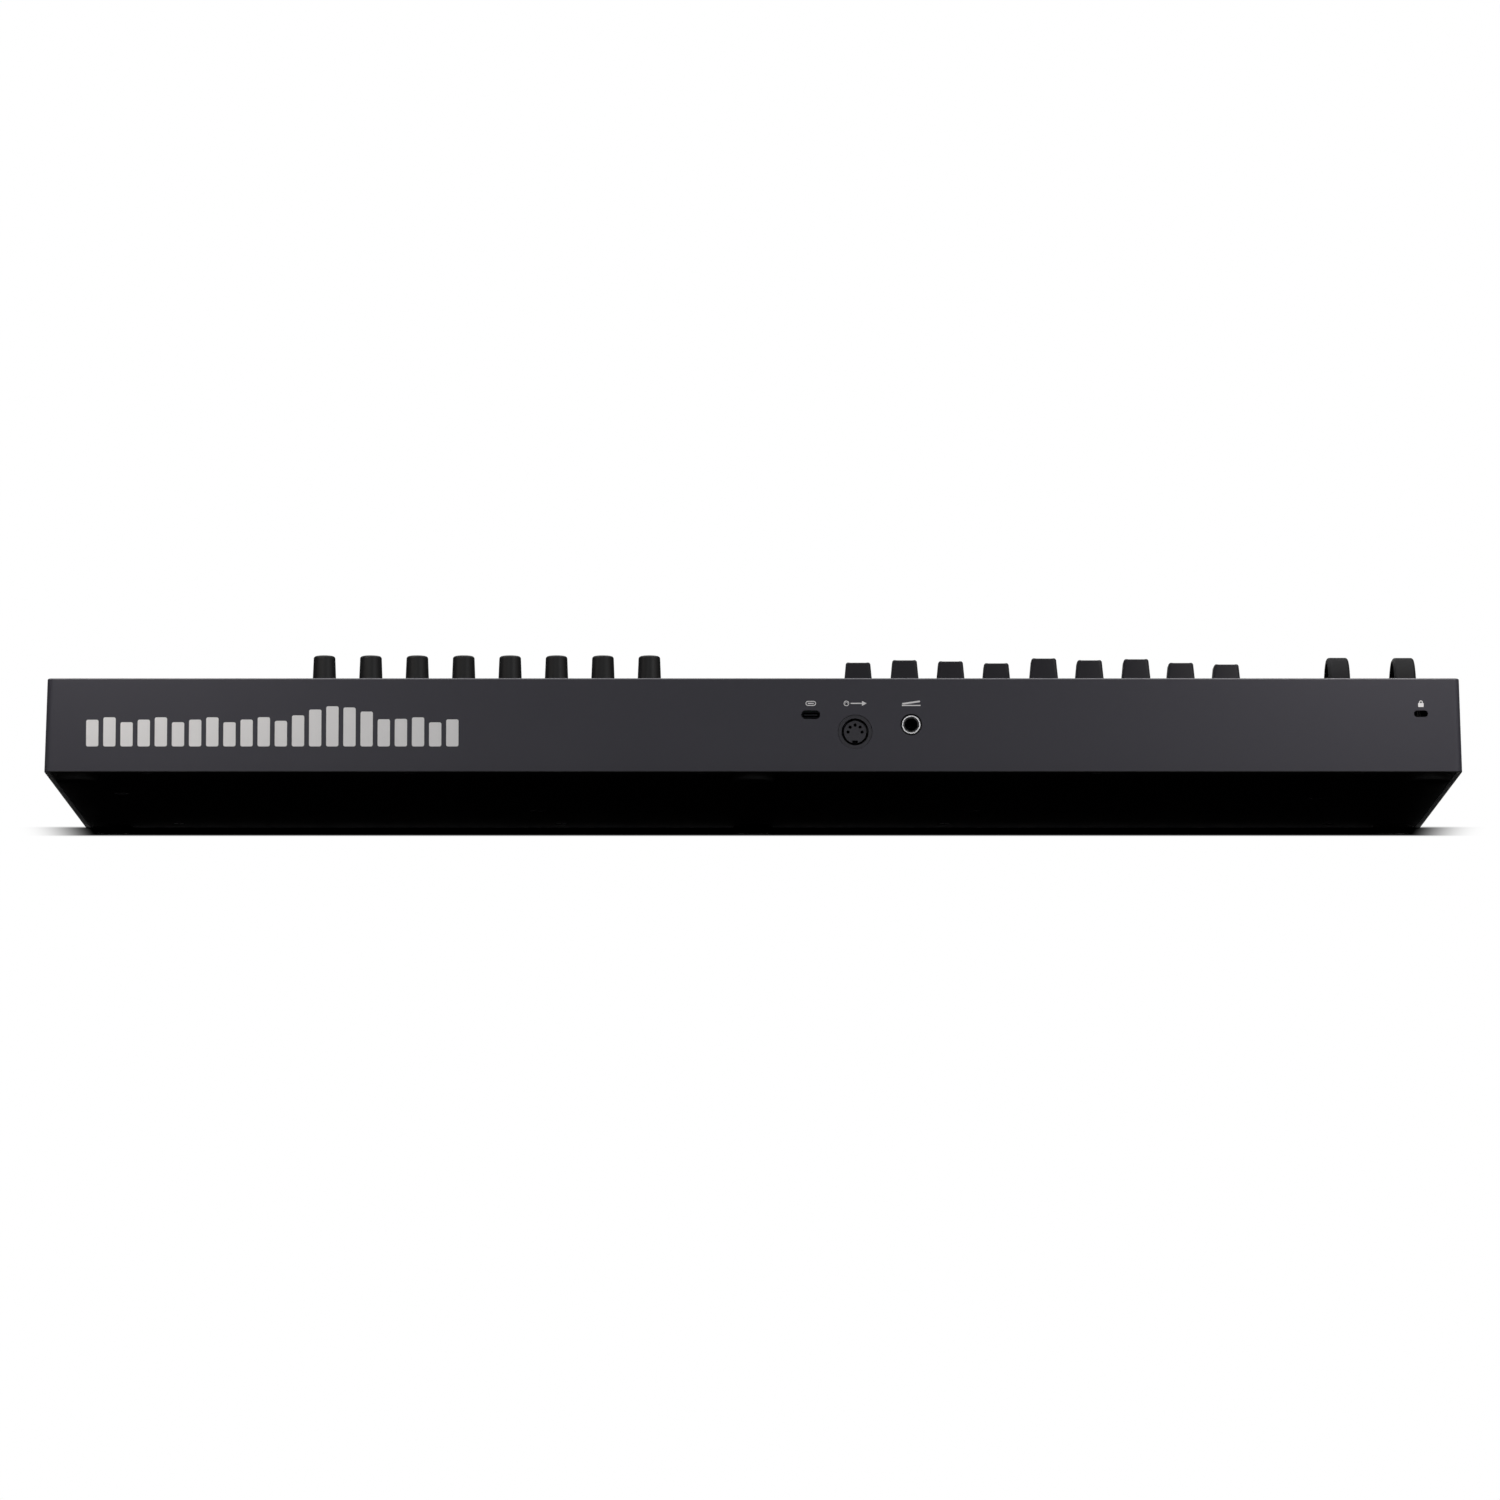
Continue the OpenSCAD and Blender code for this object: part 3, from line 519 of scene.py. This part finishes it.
def lathe(name, profile, place, axis, material, steps=64):
    """A turned piece: profile is (radius, height) pairs in millimetres, along axis from place."""
    bm = bmesh.new()
    turn = Vector((0, 0, 1)).rotation_difference(Vector(axis)).to_matrix().to_4x4()
    spin = Matrix.Translation(Vector(place)) @ turn
    rings = []
    for r, h in profile:
        circle = disc(0, 0, r, steps)
        rings.append([bm.verts.new(spin @ Vector((x * MM, y * MM, h * MM))) for x, y in circle])
    skin(bm, rings + rings[:1])
    return piece(name, bm, material)


# ---------------------------------------------------------------- rear wall

jack = mount("pedal_socket")
midi = mount("midi_out_socket")
usb = mount("usb_socket")
lock = mount("lock_slot")
LABEL_Z = 0.0371  # metres
LOCK_LABEL_Z = 0.0369


def rear_motif():
    """A row of level bars, in place of a name."""
    left, right, low, high = 0.3293, 0.1455, 0.0157, 0.0358  # metres
    count, gap = 22, 2.4
    width_all = (left - right) / MM
    bar = (width_all - gap * (count - 1)) / count
    full = (high - low) / MM
    marks = rear_print(left, low)
    for i in range(count):
        swell = math.exp(-(((i / (count - 1)) - 0.68) / 0.1) ** 2)
        ripple = math.sin(i * 2.1) * 0.07
        height = full * (0.66 + ripple + (0.34 - ripple) * swell)
        marks.fill(rounded(i * (bar + gap) + bar / 2, height / 2, bar, height, 0.9))
    marks.done("rear_level_bars", BRIGHT_INK.mat)


def port_marks():
    """Small pictures over the sockets: a flat plug, a round plug with an arrow, and a pedal."""
    p = rear_print(usb.x, LABEL_Z)
    p.ring(rounded(0, 0, 5.2, 2.4, 1.2), rounded(0, 0, 4.4, 1.6, 0.8))
    p.fill(rounded(0, 0, 3.0, 0.5, 0.25))
    p.done("usb_mark", BRIGHT_INK.mat)
    p = rear_print(midi.x, LABEL_Z)
    p.ring(disc(-4.3, 0, 1.35), disc(-4.3, 0, 1.0))
    for a in range(0, 181, 45):
        turn = math.radians(a)
        p.fill(disc(-4.3 + 0.6 * math.cos(turn), 0.6 * math.sin(turn), 0.17, steps=10))
    p.line(-2.2, 0, 3.6, 0, 0.55)
    p.fill([(3.4, -1.25), (5.7, 0), (3.4, 1.25)])
    p.done("midi_out_mark", BRIGHT_INK.mat)
    p = rear_print(jack.x, LABEL_Z)
    p.fill([(-4.6, -1.3), (4.6, -1.3), (4.6, -0.75), (-4.6, -0.75)])
    p.fill([(-4.6, -0.4), (-4.3, 0.2), (3.9, 1.4), (4.5, 1.1), (4.3, 0.6), (-3.6, -0.55)])
    p.done("pedal_mark", BRIGHT_INK.mat)


def lock_mark():
    p = rear_print(lock.x, LOCK_LABEL_Z)
    p.fill(rounded(0, -0.6, 2.7, 2.0, 0.25))
    half_turn = [math.pi * i / 12 for i in range(13)]
    outer = [(0.9 * math.cos(a), 0.75 + 0.9 * math.sin(a)) for a in half_turn]
    inner = [(0.5 * math.cos(a), 0.75 + 0.5 * math.sin(a)) for a in reversed(half_turn)]
    p.fill([(0.9, 0.35), *outer, (-0.9, 0.35), (-0.5, 0.35), *inner, (0.5, 0.35)])
    p.done("lock_mark", BRIGHT_INK.mat)


def socket_metalwork():
    """The pedal socket's threaded nose."""
    outer, flat, bore = 4.6, 3.95, 3.25
    thread = []
    for i in range(5):
        thread += [(outer, -2.6 + i * 0.45), (outer - 0.18, -2.4 + i * 0.45)]
    bevel = [(flat, 0.0), (outer - 0.15, 0.0), (outer, -0.15)]
    inside = [(bore, -3.0), (bore, -1.6), (flat - 0.1, -1.5)]
    lathe("pedal_socket_nose", [*inside, *bevel, *reversed(thread), (outer, -3.0)],
          (jack.x, REAR_Y - 0.3 * MM, jack.z), (0, 1, 0), MAT["socket_metal"].mat)


def screw_seats():
    """Metal seats in the recesses round the screws in the middle of the bottom plate."""
    seat = [(3.15, -2.6), (3.15, 0.0), (3.25, 0.1), (3.9, 0.1), (3.9, 0.02), (3.39, 0.02), (3.39, -2.6)]
    spots = []
    for v in NODES["case_screws"].data.vertices:
        spot = next((s for s in spots if (s[0] - v.co.xy).length < 8 * MM), None)
        if spot is None:
            spots.append([v.co.xy.copy()])
        else:
            spot.append(v.co.xy.copy())
    for i, spot in enumerate(spots):
        x = (min(p.x for p in spot) + max(p.x for p in spot)) / 2
        y = (min(p.y for p in spot) + max(p.y for p in spot)) / 2
        if abs(y) < 60 * MM:
            lathe(f"screw_seat_{i + 1}", seat, (x, y, BASE_Z), (0, 0, -1),
                  MAT["unit_metal"].mat, steps=40)


screw_seats()
rear_motif()
port_marks()
lock_mark()
socket_metalwork()

# ---------------------------------------------------------------- fader caps

CAP_GAP = 0.5  # over the panel, millimetres
CAP_FOOT = (7.35, 11.0)  # half width and half length
CAP_TOP = (6.1, 8.0)
CAP_EDGE = 1.0
DISH_R, DISH = (18.0, 36.0), 1.4


def dish(x, y):
    """Height of the finger hollow's surface from the cap's top, hollowed more across than along."""
    return min(0.0, x * x / 2 / DISH_R[0] + y * y / 2 / DISH_R[1] - DISH)


def cap_rings():
    """Outlines from the foot to the middle of the finger hollow: half sizes, corner radius and drop."""
    for i in range(7):
        t = i / 6 * 0.94
        half = [a + (b - a) * t for a, b in zip(CAP_FOOT, CAP_TOP)]
        yield half, 1.0 + 1.0 * t, 1 - t, 0.0
    for i in range(1, 7):
        a = math.pi / 2 * i / 6
        inset = CAP_EDGE * (1 - math.cos(a))
        yield [c - inset for c in CAP_TOP], 2.0 - inset * 0.8, 0.0, CAP_EDGE * (1 - math.sin(a))
    for share in (0.8, 0.6, 0.4, 0.2):
        yield [(c - CAP_EDGE) * share for c in CAP_TOP], 1.2 * share, 0.0, 0.0


def fader_cap(node):
    """The cap in the place of its CAD solid, with rounded edges, and its metal lever."""
    lo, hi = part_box(node)
    mid = (lo + hi) / 2
    tall = (hi.z - PANEL_Z) / MM - CAP_GAP
    bm = bmesh.new()
    rings = []
    for half, r, below, drop in cap_rings():
        line = rounded(0, 0, half[0] * 2, half[1] * 2, r)
        ring = []
        for x, y in line:
            z = tall * (1 - below) + (dish(x, y) - drop if below == 0 else 0)
            ring.append(bm.verts.new((mid.x + x * MM, mid.y + y * MM, PANEL_Z + (CAP_GAP + z) * MM)))
        rings.append(ring)
    skin(bm, rings)
    bm.faces.new(rings[-1])
    bm.faces.new(list(reversed(rings[0])))
    body = NODES[node]["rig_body"]
    cap = piece(node + "_cap", bm, MAT["fader_plastic"].mat, body=body)
    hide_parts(node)
    bm = bmesh.new()
    line = rounded(0, 0, 1.2, 4.0, 0.2, steps=3)
    low = [bm.verts.new((mid.x + x * MM, mid.y + y * MM, lo.z)) for x, y in line]
    high = [bm.verts.new((v.co.x, v.co.y, PANEL_Z + 3 * MM)) for v in low]
    prism(bm, low, high)
    piece(node + "_lever", bm, MAT["unit_metal"].mat, body=body)


for i in range(9):
    fader_cap(f"fader_{i + 1}")

# ---------------------------------------------------------------- panel marks

# Millimetres; the places are the CAD's.
PITCH = (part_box("knob_2")[0].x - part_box("knob_1")[0].x) / MM
KNOB_SCALE_R = 8.4
SCALE_FRONT, SCALE_STEP = 57, 4.5  # the fader scales' first line and spacing
DISPLAY_Y, DISPLAY_SIZE = 94, (60.2, 36.2)
TRANSPORT_X, TRANSPORT_Y = (248, 283, 318), (105, 85, 62, 42)
NAVIGATION_X, NAVIGATION_Y = (-24, -8, 8, 24), (62, 42)
OCTAVE_X, OCTAVE_Y = (-324.2, -291.5), (38,)


def over(node, x, y):
    """A print on top of a button node, riding with it, about a point."""
    return Print((x, y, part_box(node)[1].z), (1, 0, 0), (0, 1, 0))


def triangle(cx, cy, r, turn):
    """A triangle pointing right, turned by degrees."""
    a = math.radians(turn)
    corners = [a + k * 2 * math.pi / 3 for k in range(3)]
    return [(cx + r * math.cos(c), cy + r * math.sin(c)) for c in corners]


def sign(p, kind):
    """One of the usual signs on a button, about the print's middle."""
    if kind == "stop":
        p.fill(rounded(0, 0, 3.0, 3.0, 0.3))
    elif kind == "record":
        p.fill(disc(0, 0, 1.7))
    elif kind == "play":
        p.fill(triangle(0, 0, 2.1, 0))
    elif kind == "forward":
        p.fill(triangle(-1.2, 0, 1.7, 0))
        p.fill(triangle(1.5, 0, 1.7, 0))
    elif kind == "back":
        p.fill(triangle(1.2, 0, 1.7, 180))
        p.fill(triangle(-1.5, 0, 1.7, 180))
    elif kind == "loop":
        p.ring(rounded(0, 0, 6.0, 3.0, 1.5), rounded(0, 0, 5.1, 2.1, 1.05))
    elif kind == "minus":
        p.line(-1.5, 0, 1.5, 0, 0.5)
    elif kind == "plus":
        p.line(-1.5, 0, 1.5, 0, 0.5)
        p.line(0, -1.5, 0, -0.25, 0.5)
        p.line(0, 0.25, 0, 1.5, 0.5)
    elif kind == "ring":
        p.ring(disc(0, 0, 1.7), disc(0, 0, 1.2))
    elif kind in TURNS:
        p.fill(triangle(0, 0, 1.6, TURNS[kind]))


TURNS = {"right": 0, "up": 90, "left": 180, "down": 270}
TRANSPORT = (("back", "forward", "loop"), ("stop", "play", "record"),
             ("left", "right", "ring"), ("minus", "plus", "up"))
NAVIGATION = (("left", "right", "up", "down"), ("minus", "plus", "ring", "stop"))


def button_signs(node, columns, rows, kinds):
    """Signs on a block of buttons; columns and rows are millimetres, the rearmost row first."""
    n = 0
    for y, line in zip(rows, kinds):
        for x, kind in zip(columns, line):
            n += 1
            p = over(node, x * MM, y * MM)
            sign(p, kind)
            p.done(f"{node}_sign_{n}", body=NODES[node]["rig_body"])


def knob_scales():
    """Dots round each knob, open towards the player."""
    p = panel_print()
    for i in range(8):
        lo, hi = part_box(f"knob_{i + 1}")
        mid = (lo + hi) / 2 / MM
        for k in range(11):
            a = math.radians(225 - 27 * k)
            dot = 0.4 if k % 5 else 0.6
            x, y = mid.x + KNOB_SCALE_R * math.cos(a), mid.y + KNOB_SCALE_R * math.sin(a)
            p.fill(disc(x, y, dot, steps=12))
    p.done("knob_scale_dots")


def fader_scales():
    """Short lines between the faders, longer at the ends and in the middle."""
    p = panel_print()
    for i in range(10):
        lo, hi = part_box(f"fader_{min(i, 8) + 1}")
        x = (lo.x + hi.x) / 2 / MM + (PITCH / 2 if i < 9 else -PITCH / 2)
        for k in range(11):
            half = 1.1 if k % 5 else 2.0
            y = SCALE_FRONT + SCALE_STEP * k
            p.line(x - half, y, x + half, y, 0.35)
    p.done("fader_scale_lines")


def display_frame():
    """A thin line round the display window."""
    p = panel_print()
    w, h = DISPLAY_SIZE
    p.ring(rounded(0, DISPLAY_Y, w + 3.0, h + 3.0, 2.2), rounded(0, DISPLAY_Y, w + 2.2, h + 2.2, 1.8))
    p.done("display_border")


button_signs("transport_buttons", TRANSPORT_X, TRANSPORT_Y, TRANSPORT)
button_signs("navigation_buttons", NAVIGATION_X, NAVIGATION_Y, NAVIGATION)
button_signs("octave_buttons", OCTAVE_X, OCTAVE_Y, (("minus", "plus"),))
knob_scales()
fader_scales()
display_frame()

# ---------------------------------------------------------------- studio

scene = bpy.context.scene
scene.view_settings.view_transform = "Standard"
SKY_LOW, SKY_TOP = 0.01, 0.25  # light from the horizon and from overhead
SKY_FROM, SKY_TO = 0.1, 0.9  # heights between which it goes from one to the other, 1 is overhead
WARM = (1, 0.96, 0.9)
FLOOR_HALF = 3.0  # metres
FADE_FROM, FADE_TO = 0.5, 1.3  # metres from the middle, where the floor turns into the backdrop
FLOOR_SHADES = (0.84, 0.84, 0.84, 1), (0.88, 0.88, 0.88, 1)
FLOOR_BOUNCE = (0.25, 0.25, 0.25, 1)
# The painted contact shadow under the front edge, in metres: from that edge, and past the case's ends.
BAND_FRONT, BAND_BACK, BAND_ENDS = (-8 * MM, 1 * MM), (34 * MM, 44 * MM), (-5 * MM, 36 * MM)
FOOT_X, FOOT_Y = (0.0, 0.335), CASE_LO.y + 14 * MM  # the front feet
FOOT_CLEAR = (9.0 * MM, 9.3 * MM)


def make_world():
    """White all round to look at, but dim to light by: brightest overhead, dark at the horizon."""
    world = bpy.data.worlds.new("studio")
    scene.world = world
    world.use_nodes = True
    tree = world.node_tree
    tree.nodes.clear()
    seen = tree.nodes.new("ShaderNodeBackground")
    fill = tree.nodes.new("ShaderNodeBackground")
    for background in (seen, fill):
        background.inputs["Color"].default_value = (1, 1, 1, 1)
    direction = tree.nodes.new("ShaderNodeTexCoord")
    split = tree.nodes.new("ShaderNodeSeparateXYZ")
    height = tree.nodes.new("ShaderNodeMapRange")
    set_range(height, SKY_FROM, SKY_TO, SKY_LOW, SKY_TOP)
    tree.links.new(direction.outputs["Generated"], split.inputs[0])
    tree.links.new(split.outputs["Z"], height.inputs["Value"])
    tree.links.new(height.outputs["Result"], fill.inputs["Strength"])
    path = tree.nodes.new("ShaderNodeLightPath")
    mix = tree.nodes.new("ShaderNodeMixShader")
    out = tree.nodes.new("ShaderNodeOutputWorld")
    tree.links.new(path.outputs["Is Camera Ray"], mix.inputs[0])
    tree.links.new(fill.outputs[0], mix.inputs[1])
    tree.links.new(seen.outputs[0], mix.inputs[2])
    tree.links.new(mix.outputs[0], out.inputs[0])


def flat_length(m, x, y):
    """Distance along the floor."""
    flat = m.new("ShaderNodeCombineXYZ")
    m.link(x, flat.inputs[0])
    m.link(y, flat.inputs[1])
    length = m.new("ShaderNodeVectorMath", operation="LENGTH")
    m.link(flat.outputs[0], length.inputs[0])
    return length.outputs["Value"]


def contact_shade(m):
    """How much painted contact shadow the floor shows under the case's front edge, from 0 to 1, left open
    round the feet.
    """

    def step(value, start, end):
        node = m.new("ShaderNodeMapRange", interpolation_type="SMOOTHSTEP")
        set_range(node, start, end, 0.0, 1.0)
        m.link(value, node.inputs["Value"])
        return node.outputs["Result"]

    x = m.math("ABSOLUTE", m.axis(0))
    y = m.axis(1)
    ends = m.math("SUBTRACT", 1.0, step(x, *(HALF_W + d for d in BAND_ENDS)))
    ends = m.math("POWER", ends, 1.6)
    shade = m.math("MULTIPLY", step(y, *(CASE_LO.y + d for d in BAND_FRONT)), ends)
    behind = m.math("SUBTRACT", 1.0, step(y, *(CASE_LO.y + d for d in BAND_BACK)))
    shade = m.math("MULTIPLY", shade, behind)
    for foot_x in FOOT_X:
        away = flat_length(m, m.math("SUBTRACT", x, foot_x), m.math("SUBTRACT", y, FOOT_Y))
        shade = m.math("MULTIPLY", shade, step(away, *FOOT_CLEAR))
    return shade


def make_floor():
    """A pale floor, clear from underneath but for a painted contact shadow under the front edge, that
    fades into a white backdrop.

    It looks paler to the camera than the light that it throws back on the object.
    """
    bm = bmesh.new()
    bmesh.ops.create_grid(bm, x_segments=8, y_segments=8, size=FLOOR_HALF)
    mesh = bpy.data.meshes.new("floor")
    bm.to_mesh(mesh)
    bm.free()
    floor = bpy.data.objects.new("floor", mesh)
    scene.collection.objects.link(floor)
    m = Mat("floor", (0.8, 0.8, 0.8, 1), rough=0.9, specular=0.1)
    pale = m.mix(m.noise(300, detail=2), *FLOOR_SHADES)
    path = m.new("ShaderNodeLightPath")
    m.to_color(m.mix(path.outputs["Is Camera Ray"], FLOOR_BOUNCE, pale))
    clear = m.new("ShaderNodeBsdfTransparent")
    geometry = m.new("ShaderNodeNewGeometry")
    mix = m.new("ShaderNodeMixShader")
    shade = contact_shade(m)
    # A black emission: the painted contact shadow, seen only from underneath.
    dark = m.new("ShaderNodeEmission")
    dark.inputs["Color"].default_value = (0, 0, 0, 1)
    under = m.new("ShaderNodeMixShader")
    m.link(m.math("MULTIPLY", shade, path.outputs["Is Camera Ray"]), under.inputs[0])
    m.link(clear.outputs[0], under.inputs[1])
    m.link(dark.outputs[0], under.inputs[2])
    far = m.remap(flat_length(m, m.axis(0), m.axis(1)), 0.0, 1.0, FADE_FROM, FADE_TO)
    backdrop = m.new("ShaderNodeEmission")
    backdrop.inputs["Color"].default_value = (1, 1, 1, 1)
    above = m.new("ShaderNodeMixShader")
    m.link(m.math("MULTIPLY", far, path.outputs["Is Camera Ray"]), above.inputs[0])
    m.link(m.shader.outputs[0], above.inputs[1])
    m.link(backdrop.outputs[0], above.inputs[2])
    out = m.tree.nodes["Material Output"]
    see_through = m.math("MAXIMUM", geometry.outputs["Backfacing"], path.outputs["Is Shadow Ray"])
    m.link(see_through, mix.inputs[0])
    m.link(above.outputs[0], mix.inputs[1])
    m.link(under.outputs[0], mix.inputs[2])
    m.link(mix.outputs[0], out.inputs["Surface"])
    mesh.materials.append(m.mat)


def softbox(name, place, target, size, power, color=(1, 1, 1)):
    """A rectangular light that the camera doesn't see; power is in watts."""
    data = bpy.data.lights.new(name, "AREA")
    data.color = color
    data.shape = "RECTANGLE"
    data.size, data.size_y = size
    data.energy = power
    light = bpy.data.objects.new(name, data)
    scene.collection.objects.link(light)
    light.location = place
    light.rotation_mode = "QUATERNION"
    light.rotation_quaternion = (Vector(target) - Vector(place)).to_track_quat("-Z", "Y")
    light.visible_camera = False


make_world()
make_floor()
softbox("overhead", (0, -0.1, 1.6), (0, 0, 0), (2.4, 1.4), 34)
softbox("behind_left", (0.45, REAR_Y + 1.7, 0.5), (0, REAR_Y, 0.03), (0.5, 0.6), 4.4)
softbox("behind_right", (-1.15, REAR_Y + 1.5, 0.45), (0, REAR_Y, 0.03), (0.5, 0.6), 8.4)
softbox("end_left", (0.34, REAR_Y + 0.10, 0.19), (0.32, REAR_Y, 0.03), (0.12, 0.05), 0.24, WARM)
softbox("end_right", (-0.34, REAR_Y + 0.10, 0.19), (-0.33, REAR_Y, 0.03), (0.12, 0.05), 0.27, WARM)
softbox("front_fill", (0.4, -1.8, 1.1), (0, 0, 0), (1.6, 0.8), 10)
softbox("underneath", (0, REAR_Y + 1.4, -1.4), (0, 0, 0), (1.6, 0.8), 0.7)
